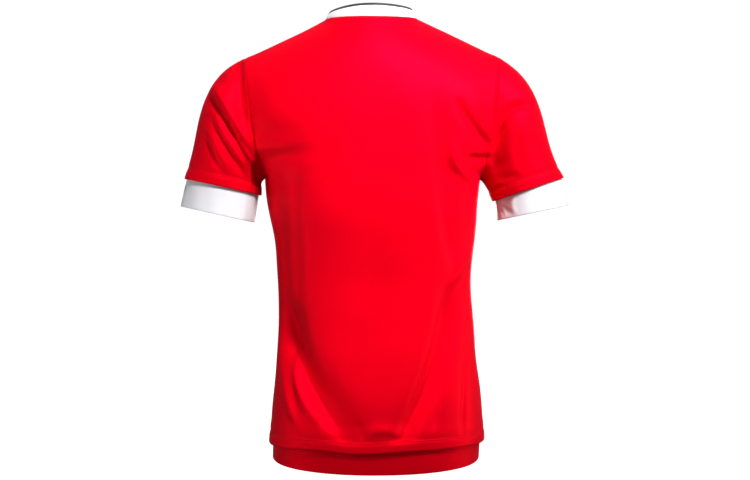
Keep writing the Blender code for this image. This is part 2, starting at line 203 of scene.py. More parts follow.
def upper_half(side, panel):
    """Rows from the armhole's widest place up over the shoulder blade or the chest."""
    end = armhole_point(side, panel, math.pi / 2)
    base = half_section(side, panel, end[2], end)
    top = neckline_and_shoulder(side, panel)
    inward = -1 if panel == "back" else 1
    place = np.linspace(0, 1, HALF_COLUMNS + 1)
    neck_share = 1 - eased(place / (NECK_COLUMNS / HALF_COLUMNS) * NECK_REACH)
    steep = np.radians(NECK_STEEPNESS * neck_share)
    arrive = np.column_stack([np.zeros_like(steep), inward * np.cos(steep), np.sin(steep)])
    rise = np.linalg.norm(top - base, axis=1)[:, None]
    first = base + np.array([0.0, 0.0, 1.0]) * rise * PLUMB_LEAD
    last = top - arrive * rise * (TOP_LEAD - NECK_LEAD_LESS * neck_share[:, None])
    rows = []
    for step in range(1, ARMHOLE_HIGH_ROWS + 1):
        part = step / ARMHOLE_HIGH_ROWS
        row = led_curve(base, first, last, top, part)
        seam = armhole_point(side, panel, math.pi / 2 * (1 - part))
        row += (seam - row[-1]) * eased((place[:, None] - SEAM_START) / (1 - SEAM_START))
        rows.append(row)
    return rows


def half_panel(side, panel):
    """Rows of points, hem to shoulder, each from the middle of the panel to its side."""
    rows = []
    edge = edge_heights(BODY_EDGE, panel)
    lowest = min(BODY_EDGE)
    for step in range(BODY_ROWS + 1):
        part = step / BODY_ROWS
        height = lowest + (UNDERARM_HEIGHT - lowest) * part
        row = half_section(side, panel, height, (section_at(height)[side["name"]], 0))
        row[:, 2] = edge + (UNDERARM_HEIGHT - edge) * part
        rows.append(row)
    for step in range(1, ARMHOLE_LOW_ROWS + 1):
        end = armhole_point(side, panel, math.pi * (1 - step / ARMHOLE_LOW_ROWS / 2))
        rows.append(half_section(side, panel, end[2], end))
    return np.array(rows + upper_half(side, panel))


def relaxed(panel):
    """The panel with its rows over the shoulders evened out, its edges kept."""
    start = BODY_ROWS + 1
    for _ in range(RELAXING):
        middle = panel[start:-1, 1:-1]
        beside = panel[start:-1, :-2] + panel[start:-1, 2:]
        above = panel[start - 1:-2, 1:-1] + panel[start + 1:, 1:-1]
        panel[start:-1, 1:-1] = middle / 2 + (beside + above) / 8
    return panel


def whole_panel(panel):
    """Both halves joined at the middle. Columns run clockwise seen from above."""
    left, right = (half_panel(side, panel) for side in rows_of(SIDE_COLUMNS, SIDES))
    left[:, 0] = right[:, 0] = (left[:, 0] + right[:, 0]) / 2
    if panel == "back":
        return relaxed(np.concatenate([right[:, :0:-1], left], axis=1))
    return relaxed(np.concatenate([left[:, :0:-1], right], axis=1))


# The net is drawn finer with smooth curves, which turn a corner only at the underarm and at the
# two neck points. Lines lie closer beside a seam and at the hem, where the cloth bends tightly.
ROWS = BODY_ROWS + ARMHOLE_LOW_ROWS + ARMHOLE_HIGH_ROWS + 1
COLUMNS = 2 * HALF_COLUMNS + 1
NECK_CORNERS = (HALF_COLUMNS - NECK_COLUMNS, HALF_COLUMNS + NECK_COLUMNS)
ROW_SPLITS = 8
COLUMN_SPLITS = 6
BY_SEAM = (0.03, 0.07, 0.115)  # further lines in from an edge, as shares of the first gap
BY_HEM = np.arange(0.04, 0.9, 0.04)
BLEND_LINES = 2.5  # over how many lines a corner dies out


def fine_places(count, splits, by_start, by_end):
    """Places of the finer lines between the first and the last of a count of lines."""
    even = np.linspace(0, count - 1, (count - 1) * splits + 1)
    near = [even, np.array(by_start), count - 1 - np.array(by_end)]
    return np.unique(np.round(np.concatenate(near), 4))


def curve_weights(marks, places, corners=()):
    """Weights that draw a smooth curve through points, whose marks say how far along they are.

    A place is the number of a point, or lies between two of them.
    """
    weights = np.zeros((len(places), len(marks)))
    ends = [0, *corners, len(marks) - 1]
    for first, last in zip(ends[:-1], ends[1:]):
        size = last - first + 1
        gaps = np.diff(marks[first:last + 1]).astype(float)
        bend = np.zeros((size, size))
        pull = np.zeros((size, size))
        for line in range(1, size - 1):
            before, after = gaps[line - 1:line + 1]
            bend[line, line - 1:line + 2] = (before, 2 * (before + after), after)
            pull[line, line - 1:line + 2] = (6 / before, -6 / before - 6 / after, 6 / after)
        bend[0, :2] = bend[-1, -2:] = (1, -1)
        curvature = np.linalg.solve(bend, pull)
        inside = (places >= first) & (places <= last)
        line = np.minimum(places[inside].astype(int) - first, size - 2)
        part = (places[inside] - first - line)[:, None]
        rest = 1 - part
        even = np.eye(size)
        bow = (rest**3 - rest) * curvature[line] + (part**3 - part) * curvature[line + 1]
        weights[np.ix_(inside, range(first, last + 1))] = (
            rest * even[line] + part * even[line + 1] + gaps[line][:, None] ** 2 * bow / 6
        )
    return weights


def drawn_fine(panel, rows, columns):
    """The panel's net at finer rows and columns, turning a corner only where it should."""
    def drawn(row_weights, column_weights):
        return np.einsum("ri,ijk,cj->rck", row_weights, panel, column_weights)

    step = np.linalg.norm(np.diff(panel, axis=0), axis=-1).mean(axis=1)
    up = np.concatenate([[0], np.cumsum(step)])
    across = np.arange(COLUMNS)
    smooth_rows = curve_weights(up, rows)
    smooth_columns = curve_weights(across, columns)
    smooth = drawn(smooth_rows, smooth_columns)
    at_side = drawn(curve_weights(np.arange(ROWS), rows, (BODY_ROWS,)), smooth_columns)
    at_top = drawn(smooth_rows, curve_weights(across, columns, NECK_CORNERS))
    to_side = np.minimum(columns, COLUMNS - 1 - columns)
    to_top = ROWS - 1 - rows
    side_share = eased(1 - to_side / BLEND_LINES)[None, :, None]
    top_share = eased(1 - to_top / BLEND_LINES)[:, None, None]
    return smooth + (at_side - smooth) * side_share + (at_top - smooth) * top_share


def net_normals(grid, closed_round=True, closed_up=False):
    """The way each point of a net faces, out of the cloth."""
    up, across = (
        np.roll(grid, -1, axis=axis) - np.roll(grid, 1, axis=axis)
        if closed else np.gradient(grid, axis=axis)
        for axis, closed in ((0, closed_up), (1, closed_round))
    )
    return unit(np.cross(up, across))


def lengths_along(grid, axis):
    """How far each point lies from the net's first and last line, along the cloth."""
    steps = np.linalg.norm(np.diff(grid, axis=axis), axis=-1)
    start = np.zeros_like(np.take(steps, [0], axis=axis))
    length = np.concatenate([start, np.cumsum(steps, axis=axis)], axis=axis)
    return length, np.take(length, [-1], axis=axis) - length


body_rows = fine_places(ROWS, ROW_SPLITS, BY_HEM, BY_SEAM)
body_columns = fine_places(COLUMNS, COLUMN_SPLITS, BY_SEAM, BY_SEAM)
base = {name: drawn_fine(whole_panel(name), body_rows, body_columns) for name in NECK}
facing = {name: net_normals(grid, closed_round=False) for name, grid in base.items()}

# Both panels face the same way where they are sewn to each other.
every_point = np.concatenate([base[name].reshape(-1, 3) for name in base])
every_normal = np.concatenate([facing[name].reshape(-1, 3) for name in base])
_, same = np.unique(np.round(every_point, 3), axis=0, return_inverse=True)
same = same.reshape(-1)
summed = np.zeros((same.max() + 1, 3))
np.add.at(summed, same, every_normal)
shared = unit(summed)[same].reshape(2, len(body_rows), len(body_columns), 3)
facing = dict(zip(base, shared))

# ------------------------------------------------------------------------- the body's folds
# The cloth is slim at the waist and wider at the hips, so it falls from each side of the waist in
# long soft folds that fan in towards the hem. Shorter ones pull towards the armholes.
# Each runs through three points, seen square on. A negative depth is a ridge.

FOLD_COLUMNS = (
    "x0", "z0", "x1", "z1", "x2", "z2", "depth",
    "left_start", "left_end", "right_start", "right_end",
)
BACK_FOLDS = (
    (146, -205, 146, -360, 122, -560, 9.0, 25, 28, 27, 32),
    (120, -205, 119, -330, 116, -450, 2.8, 11, 11, 13, 13),
    (150, -436, 120, -524, 34, -638, 20.0, 6, 17, 34, 25),
    (133, -490, 119, -550, 86, -613, -4.0, 5, 5, 9, 13),
    (139, -480, 133, -545, 106, -614, 6.0, 6, 6, 7, 7),
    (139, -495, 131, -568, 109, -622, -4.0, 6, 6, 6, 6),
    (-114, -400, -90, -520, -28, -648, 18.0, 15, 12, 21, 17),
    (-102, -530, -95, -580, -86, -624, 3.2, 7, 7, 5, 5),
    (-138, -470, -133, -560, -130, -640, 2.6, 4, 4, 3, 3),
    (-90, -120, -99, -260, -122, -400, 8.0, 10, 9, 24, 20),
    (-142, -350, -131, -376, -114, -410, -3.0, 5, 5, 7, 7),
    (10, -627, -15, -622, -42, -633, -3.2, 4.5, 4.5, 12, 12),
    (24, -608, 21, -620, 18, -634, 2.3, 4, 4, 4, 4),
    (204, -178, 150, -180, 96, -188, 1.6, 12, 12, 14, 14),
    (204, -222, 150, -218, 88, -206, 4.2, 13, 13, 13, 13),
    (190, -262, 145, -258, 102, -252, 2.0, 12, 12, 10, 10),
    (-122, -132, -146, -168, -176, -208, 7.5, 7, 13, 5, 8),
    (-136, -216, -158, -218, -186, -213, 4.5, 6, 6, 6, 6),
    (-114, -188, -124, -232, -155, -251, -4.5, 8, 8, 7, 7),
)
FRONT_FOLDS = (
    (128, -450, 96, -530, 40, -618, 6.5, 10, 18, 22, 15),
    (120, -505, 92, -570, 66, -620, -2.8, 7, 8, 9, 10),
    (104, -520, 84, -580, 74, -622, 2.4, 7, 7, 6, 6),
    (-124, -462, -92, -548, -50, -618, 6.0, 20, 14, 9, 16),
    (-108, -500, -80, -566, -34, -610, -3.0, 10, 10, 9, 9),
    (-128, -540, -112, -590, -102, -622, 2.6, 8, 8, 7, 7),
    (132, -150, 112, -196, 96, -250, 4.0, 14, 16, 14, 16),
    (-130, -156, -108, -200, -90, -244, 3.5, 14, 16, 14, 16),
    (138, -206, 122, -222, 104, -232, -2.0, 9, 9, 8, 8),
    (-142, -196, -124, -214, -104, -222, -2.2, 9, 9, 8, 8),
    (-138, -352, -122, -380, -104, -402, 2.0, 10, 10, 9, 9),
    (140, -330, 128, -366, 110, -396, 2.2, 11, 11, 9, 9),
    (22, -606, -2, -616, -30, -608, 2.0, 8, 8, 7, 7),
)
FOLD_STRETCHES = 18  # straight stretches that a fold's curve is measured by
FOLD_REACH = 3  # in its widths
RUN_OUT = 0.1  # how far a fold runs on past its ends, as a share of its length
FADE = 1 / 3  # share of its length over which it sinks in at each end
TURN_AWAY = 1.8  # above 1, a fold lasts further round towards the sides
SWAY_COLUMNS = ("across", "up", "start", "height")
SWAYS = (
    (0.041, 0.019, 0.4, 0.30), (-0.024, 0.046, 2.1, 0.26),
    (0.067, -0.031, 4.0, 0.16), (0.012, 0.083, 5.2, 0.12),
)
SWAY_BEHIND = 0.02
CLOTH_OUT = 1.0  # from the middle of the rigid wall to the cloth's outer face
SEAM_DIP, SEAM_DIP_WIDTH = 0.6, 2.0
SEAM_SWELL, SEAM_SWELL_AT, SEAM_SWELL_WIDTH = 0.2, 5.0, 2.6
HEM_TURN = 17.0  # how far the hem is turned up inside
HEM_STITCHES = (13.6, 16.6)
HEM_PLY, HEM_STEP = 0.35, 3.0  # the second ply, and the run over which it ends
GROOVE, GROOVE_WIDTH = 0.4, 1.1
HEM_PULL, HEM_PULL_WIDTH = 0.6, 4.0  # the stitches draw the cloth in a little above them
HEM_PULL_ABOVE = 1.0
EDGE_ROUND, EDGE_WIDTH = 0.9, 0.8
HEM_STIFF = 8.0  # folds die out over the hem's two plies, down to this far from its edge
HEM_STIFF_RUN = 14.0  # and over this run
BLOUSE = 2.5  # how far the cloth stands out over the band below it
BLOUSE_HEIGHT = 40.0
HANG_HEIGHT = 70.0
HANG_PLACES = (-165, -120, -81, -48, 0, 32, 60, 81, 130, 160)  # across the back's lower edge
HANG_DROPS = (-4.0, -3.2, -2.5, -1.5, 1.2, 2.0, 0.0, -1.4, 0.0, 0.5)  # how much lower it is there
LIFT_COLUMNS = ("panel", "middle", "half_width", "out", "height")
LIFTS = (("back", 18, 46, 1.0, 20), ("front", -10, 60, 2.0, 20))


def close_to(distance, width):
    """A soft bell over a distance: 1 at no distance, and about a third at the width."""
    return np.exp(-((distance / width) ** 2))


def fold_depth(points, folds):
    """How deep each point lies in the folds, seen square on.

    A fold's left bank is the one towards the wearer's left as it runs down.
    """
    sunk = np.zeros(points.shape[:-1])
    seen = points[..., [0, 2]]
    place = np.linspace(-RUN_OUT, 1 + RUN_OUT, FOLD_STRETCHES + 1)[:, None]
    for fold in rows_of(FOLD_COLUMNS, folds):
        start, middle, end = (
            np.array([fold["x" + point], fold["z" + point]], float) for point in "012"
        )
        line = (
            start * (1 - place) * (1 - 2 * place)
            + middle * 4 * place * (1 - place)
            + end * place * (2 * place - 1)
        )
        reach = FOLD_REACH * max(fold[end] for end in FOLD_COLUMNS[-4:])
        near = np.all((seen > line.min(axis=0) - reach) & (seen < line.max(axis=0) + reach), -1)
        if not near.any():
            continue
        run = np.diff(line, axis=0)
        from_start = seen[near][:, None] - line[:-1]
        part = np.clip((from_start * run).sum(-1) / (run * run).sum(-1), 0, 1)
        apart = np.linalg.norm(from_start - part[..., None] * run, axis=-1)
        nearest = apart.argmin(axis=1)
        pick = np.arange(len(nearest))
        along = (nearest + part[pick, nearest]) / FOLD_STRETCHES
        across = from_start[pick, nearest]
        leftward = run[nearest, 0] * across[:, 1] - run[nearest, 1] * across[:, 0] > 0
        width = np.where(
            leftward,
            fold["left_start"] + (fold["left_end"] - fold["left_start"]) * along,
            fold["right_start"] + (fold["right_end"] - fold["right_start"]) * along,
        )
        fade = eased(along / FADE) * eased((1 - along) / FADE)
        sunk[near] += fold["depth"] * close_to(apart[pick, nearest], width) * fade
    return sunk


def facing_share(toward):
    """How much of a fold is left where the cloth turns away from the side it is drawn on."""
    return eased(toward * TURN_AWAY)


def sway(points):
    """The slight unevenness of worn cloth."""
    out = np.zeros(points.shape[:-1])
    for wave in rows_of(SWAY_COLUMNS, SWAYS):
        angle = points[..., 0] * wave["across"] + points[..., 2] * wave["up"]
        out += wave["height"] * np.sin(angle + points[..., 1] * SWAY_BEHIND + wave["start"])
    return out


def seam_shape(distance):
    """How the outer face sinks at a seam, between two low swells over the seam allowances."""
    swell = SEAM_SWELL * close_to(distance - SEAM_SWELL_AT, SEAM_SWELL_WIDTH)
    return swell - SEAM_DIP * close_to(distance, SEAM_DIP_WIDTH)


def hem_shape(distance):
    """A turned hem: two plies, a rounded edge and a groove under each row of stitches."""
    out = HEM_PLY * eased((HEM_TURN + HEM_STEP / 2 - distance) / HEM_STEP)
    out -= EDGE_ROUND * close_to(distance, EDGE_WIDTH)
    out -= HEM_PULL * close_to(distance - HEM_TURN - HEM_PULL_ABOVE, HEM_PULL_WIDTH)
    for row in HEM_STITCHES:
        out -= GROOVE * close_to(distance - row, GROOVE_WIDTH)
    return out


cloth = {}
body_measures = {}
for panel, folds in (("back", BACK_FOLDS), ("front", FRONT_FOLDS)):
    grid, normals = base[panel], facing[panel]
    from_right, from_left = lengths_along(grid, 1)
    from_hem, from_top = lengths_along(grid, 0)
    body_measures[panel] = (from_right, from_hem)
    toward = normals[..., 1] * (1 if panel == "back" else -1)
    soft = eased((from_hem - HEM_STIFF) / HEM_STIFF_RUN)
    out = CLOTH_OUT + sway(grid) - fold_depth(grid, folds) * facing_share(toward) * soft
    seams = seam_shape(from_right) + seam_shape(from_left) + seam_shape(from_top)
    out += np.maximum(seams, -SEAM_DIP) + hem_shape(from_hem)
    above = grid[..., 2] - min(BODY_EDGE)
    out += BLOUSE * np.cos(np.clip(above / BLOUSE_HEIGHT, 0, 1) * math.pi / 2)
    for lift in rows_of(LIFT_COLUMNS, LIFTS):
        if lift["panel"] == panel:
            beside = close_to(grid[..., 0] - lift["middle"], lift["half_width"])
            out += lift["out"] * beside * eased(1 - from_hem / lift["height"])
    cloth[panel] = grid + normals * out[..., None]
    if panel == "back":
        place = np.interp(grid[0, :, 0], HANG_PLACES, range(len(HANG_PLACES)))
        drop = curve_weights(HANG_PLACES, place) @ HANG_DROPS
        cloth[panel][..., 2] -= drop * eased(1 - from_hem / HANG_HEIGHT)

# ------------------------------------------------------------------- the jersey knit, in red
# Fine interlock polyester: upright wales of small loops, smooth and a little shiny, dyed a clear
# red. The knit is drawn on the cloth's own measures, so it follows every panel as it was cut.

WALE, COURSE = 0.0011, 0.0009  # in metres, as all measures of a surface are
LOOP_STEP = 0.25
LOOP_SLANT = 0.5
PATCH_SCALE, PATCH_SHARE = 16.0, 0.3  # of its uneven dye
NOISE_ROUGHNESS = 0.55
FUZZ_SCALE, FUZZ_SHARE = 900.0, 0.15
UNEVEN = 0.1
KNIT_STRENGTH, KNIT_DEPTH = 0.35, 0.00018
SHEEN_ROUGHNESS = 0.35
RED = (0.86, 0.0, 0.012)
# Painted shade: the knit's hollows are coloured darker than its loops, for the shade that falls
# in them.
RED_SHADED_HOLLOW = (0.66, 0.0, 0.005)


def fill_in(tree, node, inputs):
    """Links or sets a node's inputs, given in order as (name, value)."""
    for name, value in inputs:
        if isinstance(value, bpy.types.NodeSocket):
            tree.links.new(value, node.inputs[name])
        else:
            node.inputs[name].default_value = value


def new_node(tree, kind, inputs=(), **settings):
    """A node with its settings and its inputs."""
    node = tree.nodes.new(kind)
    for key, value in settings.items():
        setattr(node, key, value)
    fill_in(tree, node, inputs)
    return node


def maths(tree, operation, *values):
    """The result of one sum over values or other nodes' results."""
    node = new_node(tree, "ShaderNodeMath", list(enumerate(values)), operation=operation)
    return node.outputs[0]


def empty_material(name, colour):
    """A material with its shader's node tree, ready for its texture."""
    material = bpy.data.materials.new(name)
    material.use_nodes = True
    material.diffuse_color = (*colour, 1.0)
    return material, material.node_tree, material.node_tree.nodes["Principled BSDF"]


def cloth_place(tree):
    """Where a point lies on its piece, across and along the cloth, by the piece's cloth UV."""
    place = new_node(tree, "ShaderNodeUVMap", uv_map="cloth")
    return new_node(tree, "ShaderNodeSeparateXYZ", [(0, place.outputs[0])]).outputs


def knit_height(tree):
    """Relief of a plain knit, 0 in the grooves and 1 on the loops."""
    place = cloth_place(tree)
    wales = maths(tree, "FRACT", maths(tree, "DIVIDE", place["X"], WALE))
    off_middle = maths(tree, "ABSOLUTE", maths(tree, "MULTIPLY_ADD", wales, 2.0, -1.0))
    courses = maths(tree, "DIVIDE", place["Y"], COURSE)
    slanted = maths(tree, "MULTIPLY_ADD", off_middle, LOOP_SLANT, courses)
    loops = maths(tree, "SINE", maths(tree, "MULTIPLY", slanted, 2 * math.pi))
    stepped = maths(tree, "MULTIPLY_ADD", loops, LOOP_STEP, 1 - LOOP_STEP)
    round_top = maths(tree, "SUBTRACT", 1.0, maths(tree, "MULTIPLY", off_middle, off_middle))
    return maths(tree, "MULTIPLY", stepped, round_top)


def tone_noise(tree, scale, detail=2.0):
    """Soft patches over the cloth, between 0 and 1."""
    place = new_node(tree, "ShaderNodeTexCoord")
    noise = new_node(tree, "ShaderNodeTexNoise", [
        ("Vector", place.outputs["Object"]), ("Scale", scale), ("Detail", detail),
        ("Roughness", NOISE_ROUGHNESS),
    ])
    return noise.outputs["Fac"]


def blend(tree, share, low, high):
    """From one colour to another by a share. Each is a colour or another blend."""
    low, high = ((*end, 1.0) if isinstance(end, tuple) else end for end in (low, high))
    ends = [("Factor", share), (6, low), (7, high)]
    return new_node(tree, "ShaderNodeMix", ends, data_type="RGBA").outputs[2]


def knit_colour(tree, height, patches, shaded_hollow, loop):
    """Lightest on the loops and darker in the hollows, which is painted shade, and a little
    uneven over the cloth.
    """
    by_loop = maths(tree, "MULTIPLY", height, 1 - PATCH_SHARE)
    return blend(tree, maths(tree, "MULTIPLY_ADD", patches, PATCH_SHARE, by_loop), shaded_hollow, loop)


def relief(tree, height, strength, depth):
    """A normal that shows a height on the surface."""
    inputs = [("Height", height), ("Strength", strength), ("Distance", depth)]
    return new_node(tree, "ShaderNodeBump", inputs).outputs["Normal"]


def knit_material(name, loop, shaded_hollow, roughness, tint, sheen, specular, gloss):
    """A knit with its loops, its hollows painted darker as shade, and a light that it sends back
    in its own tint.
    """
    material, tree, shader = empty_material(name, loop)
    height = knit_height(tree)
    patches = tone_noise(tree, PATCH_SCALE)
    fuzz = tone_noise(tree, FUZZ_SCALE, 1.0)
    fuzzy = maths(tree, "MULTIPLY_ADD", fuzz, FUZZ_SHARE, height)
    uneven = maths(tree, "MULTIPLY_ADD", patches, UNEVEN, roughness - UNEVEN / 2)
    fill_in(tree, shader, [
        ("Base Color", knit_colour(tree, height, patches, shaded_hollow, loop)),
        ("Roughness", uneven), ("Normal", relief(tree, fuzzy, KNIT_STRENGTH, KNIT_DEPTH)),
        ("Sheen Weight", sheen), ("Sheen Roughness", SHEEN_ROUGHNESS),
        ("Sheen Tint", (*tint, 1.0)), ("Specular Tint", (*tint, 1.0)),
        ("Specular IOR Level", specular), ("Metallic", gloss),
    ])
    return material


red_knit = knit_material(
    "red_knit", RED, RED_SHADED_HOLLOW,
    roughness=0.48, tint=(1.0, 0.0, 0.16), sheen=0.15, specular=0.05, gloss=0.28,
)

# --------------------------------------------------------------------- back and front panels
# The two panels themselves, as thin shells of cloth on the shape above. Each is sewn to its
# neighbours along its edges, and its lower edge is turned up and held by two rows of stitches.

PANEL_PLY = 1.1


def new_object(name, data):
    """An object in the scene, named as its mesh, lamp or camera."""
    piece = bpy.data.objects.new(name, data)
    bpy.context.scene.collection.objects.link(piece)
    return piece


def mesh_object(name, points, edges=(), faces=()):
    """An object with a new mesh, its points given in millimetres."""
    mesh = bpy.data.meshes.new(name)
    mesh.from_pydata((np.array(points) * MM).tolist(), edges, faces)
    return new_object(name, mesh)


def cloth_object(name, grid, across, along, material, ply=0.0):
    """Cloth whose outer face is the net, with its own measures in metres as its UV.

    A net that closes on itself has one line of measures more than of points.
    """
    rows, columns = grid.shape[:2]
    row, column = np.indices((across.shape[0] - 1, across.shape[1] - 1))
    start, end = row * columns, (row + 1) % rows * columns
    beside = (column + 1) % columns
    faces = np.stack([start + column, end + column, end + beside, start + beside], axis=-1)
    piece = mesh_object(name, grid.reshape(-1, 3), faces=faces.reshape(-1, 4).tolist())
    measure = np.stack([across - across.min(), along - along.min()], axis=-1) * MM
    corners = np.stack(
        [measure[:-1, :-1], measure[1:, :-1], measure[1:, 1:], measure[:-1, 1:]], axis=2,
    )
    layer = piece.data.uv_layers.new(name="cloth")
    layer.data.foreach_set("uv", corners.reshape(-1))
    piece.data.materials.append(material)
    piece.data.shade_smooth()
    if ply:
        wall = piece.modifiers.new("ply", "SOLIDIFY")
        wall.thickness = ply * MM
        wall.offset = -1.0
    return piece


for panel, name in (("back", "back_panel"), ("front", "front_panel")):
    across, along = body_measures[panel]
    centred = across - across[:, -1:] / 2
    piece = cloth_object(name, cloth[panel], centred, along, red_knit, PANEL_PLY)
    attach(piece, "root")
    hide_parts(panel)

# ----------------------------------------------------------------------------------- sleeves
# Two set-in short sleeves of the same red knit, each cut in one piece, closed by a seam under the
# arm and sewn into its armhole. They hang down and out from the shoulders in slanting folds.

HEM_COLUMNS = ("name", "outer", "outer_height", "inner", "inner_height", "half_depth")
SLEEVE_HEMS = (
    ("left", 290, -247, 174.5, -272, 51),
    ("right", 288, -245, 181, -281, 51),
)
SLEEVE_MIDDLE = 2  # its depth
SLEEVE_SWELL = 0.22  # how much it widens out of the armhole towards the back and the front
UNDERARM_RUN = 9
UNDERARM_ANGLE = 85  # degrees from plumb at which it leaves the underarm
SLEEVE_ROWS = 8
SLEEVE_SPLITS = 9
SLEEVE_BY_HEM = np.arange(0.04, 0.84, 0.04)
SETTLE = 7.0  # how soon the sleeve takes its own shape below the armhole
SLEEVE_PLY = 1.1
SLEEVE_FOLDS = {
    ("left", "back"): (
        (247, -104, 222, -142, 188, -200, -6.8, 7, 6, 12, 8),
        (251, -116, 229, -156, 194, -216, 6.4, 8, 6, 6, 6),
        (238, -158, 222, -186, 198, -230, -2.8, 5, 5, 6, 5),
        (250, -152, 235, -179, 197, -242, 4.0, 7, 6, 5, 5),
        (250, -172, 240, -202, 222, -234, -2.6, 4, 4, 7, 7),
        (252, -182, 246, -208, 228, -240, 3.2, 6, 6, 5, 5),
        (206, -186, 196, -205, 184, -224, -2.0, 3, 3, 3, 3),
        (206, -52, 201, -112, 196, -186, 8.0, 12, 10, 10, 8),
        (183, -224, 180, -250, 177, -300, 11.0, 4, 4, 6, 6),
    ),
    ("right", "back"): (
        (-236, -140, -198, -150, -184, -206, 10.0, 7, 7, 6, 6),
        (-186, -160, -180, -208, -184, -246, 7.0, 6, 6, 14, 13),
        (-180, -246, -198, -247, -218, -242, 1.7, 5, 5, 7, 7),
        (-168, -264, -181, -265, -196, -262, 2.8, 4, 4, 5, 5),
        (-236, -180, -240, -205, -246, -230, 2.0, 8, 8, 8, 8),
        (-214, -182, -216, -208, -222, -234, 1.8, 7, 7, 7, 7),
    ),
    ("left", "front"): (
        (244, -112, 220, -150, 194, -192, 4.0, 10, 9, 10, 9),
        (250, -160, 226, -196, 202, -226, 3.0, 8, 8, 8, 8),
        (236, -136, 214, -172, 190, -212, -2.2, 8, 8, 8, 8),
    ),
    ("right", "front"): (
        (-240, -116, -214, -156, -190, -194, 4.0, 10, 9, 10, 9),
        (-246, -168, -222, -200, -200, -226, 3.0, 8, 8, 8, 8),
        (-230, -140, -208, -178, -188, -216, -2.0, 8, 8, 8, 8),
    ),
}


def hem_ring(side, hems, turns, inset=0.0):
    """A hem as a slanting oval, drawn in all round by the inset."""
    hem = next(row for row in rows_of(HEM_COLUMNS, hems) if row["name"] == side["name"])
    outer = np.array([side["way"] * hem["outer"], SLEEVE_MIDDLE, hem["outer_height"]])
    inner = np.array([side["way"] * hem["inner"], SLEEVE_MIDDLE, hem["inner_height"]])
    across = (outer - inner) / 2
    back = np.array([0.0, side["way"] * hem["half_depth"], 0.0])
    ring = np.cos(turns) * across * (1 - inset / np.linalg.norm(across))
    ring = ring + np.sin(turns) * back * (1 - inset / hem["half_depth"])
    return (outer + inner) / 2 + ring


def hem_directions(side, turns):
    """The way the cloth runs into the sleeve's hem, for each point of the ring."""
    under = (1 - np.cos(turns)) / 2
    angles = np.radians(side["fall_angle"] * (1 - under) + side["inner_angle"] * under)
    return np.hstack([side["way"] * np.sin(angles), np.zeros_like(angles), -np.cos(angles)])


def sleeve_net(side, armhole, turns, places):
    """Rings from the armhole to the hem, full over the shoulder and short at the underarm."""
    under = (1 - np.cos(turns)) / 2
    hem = hem_ring(side, SLEEVE_HEMS, turns)
    run = hem_directions(side, turns)
    cap = math.radians(side["cap_angle"])
    over_shoulder = np.array([side["way"] * math.cos(cap), 0.0, -math.sin(cap)])
    slant = math.radians(UNDERARM_ANGLE)
    at_underarm = np.array([side["way"] * math.sin(slant), 0.0, -math.cos(slant)])
    leave = unit(over_shoulder * (1 - under) + at_underarm * under)
    leave = leave + side["way"] * np.sin(turns) * np.array([0.0, SLEEVE_SWELL, 0.0])
    first = armhole + leave * (side["cap"] * (1 - under) + UNDERARM_RUN * under)
    last = hem - run * (side["fall"] * (1 - under) + UNDERARM_RUN * under)
    return led_curve(armhole, first, last, hem, (places / SLEEVE_ROWS)[:, None, None])


def armhole_ring(side, nets):
    """The armhole's points once round, from the underarm, and how far round each lies."""
    start = int(np.searchsorted(body_rows, BODY_ROWS))
    low = math.pi / 2 / ARMHOLE_LOW_ROWS
    high = math.pi / 2 / ARMHOLE_HIGH_ROWS
    above = body_rows[start:] - BODY_ROWS
    turn = np.where(
        above <= ARMHOLE_LOW_ROWS,
        math.pi - above * low,
        math.pi / 2 - (above - ARMHOLE_LOW_ROWS) * high,
    )
    up_back = nets["back"][start:, -1 if side["way"] > 0 else 0]
    up_front = nets["front"][start:, 0 if side["way"] > 0 else -1]
    first, second = (up_back, up_front) if side["way"] > 0 else (up_front, up_back)
    ring = np.concatenate([first, second[-2:0:-1]])
    turns = np.concatenate([turn, 2 * math.pi - turn[-2:0:-1]])
    return ring, turns[:, None]


def wrapped(values, axis):
    """A closed net's values with the first line once more at the end."""
    return np.concatenate([values, np.take(values, [0], axis=axis)], axis=axis)


sleeves = {}
sleeve_places = fine_places(SLEEVE_ROWS + 1, SLEEVE_SPLITS, BY_SEAM, SLEEVE_BY_HEM)
for side in rows_of(SIDE_COLUMNS, SIDES):
    armhole, turns = armhole_ring(side, base)
    sewn_edge, _ = armhole_ring(side, cloth)
    grid = sleeve_net(side, armhole, turns, sleeve_places)[::-1]
    normals = net_normals(grid)
    from_hem, from_armhole = lengths_along(grid, 0)
    from_seam, to_seam = lengths_along(wrapped(grid, 1), 1)
    soft = eased((from_hem - HEM_STIFF) / HEM_STIFF_RUN)
    out = CLOTH_OUT + sway(grid) + seam_shape(from_armhole) + hem_shape(from_hem)
    out += seam_shape(np.minimum(from_seam, to_seam))[:, :-1]
    for panel, way in (("back", 1), ("front", -1)):
        folds = SLEEVE_FOLDS[side["name"], panel]
        out -= fold_depth(grid, folds) * facing_share(normals[..., 1] * way) * soft
    shaped = grid + normals * out[..., None]
    shaped += (sewn_edge - shaped[-1]) * close_to(from_armhole, SETTLE)[..., None]
    sleeves[side["name"]] = (shaped, from_hem)
    centred = from_seam - from_seam[:, -1:] / 2
    piece = cloth_object(
        side["name"] + "_sleeve", shaped, centred, wrapped(from_hem, 1), red_knit, SLEEVE_PLY,
    )
    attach(piece, "root")
    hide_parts("sleeve_" + side["name"])

# ------------------------------------------------------------------------------------ collar
# One standing band of white rib, knitted double with its fold at the top, where a few courses
# are knitted black. It is sewn to the neckline with the seam turned down inside the body.

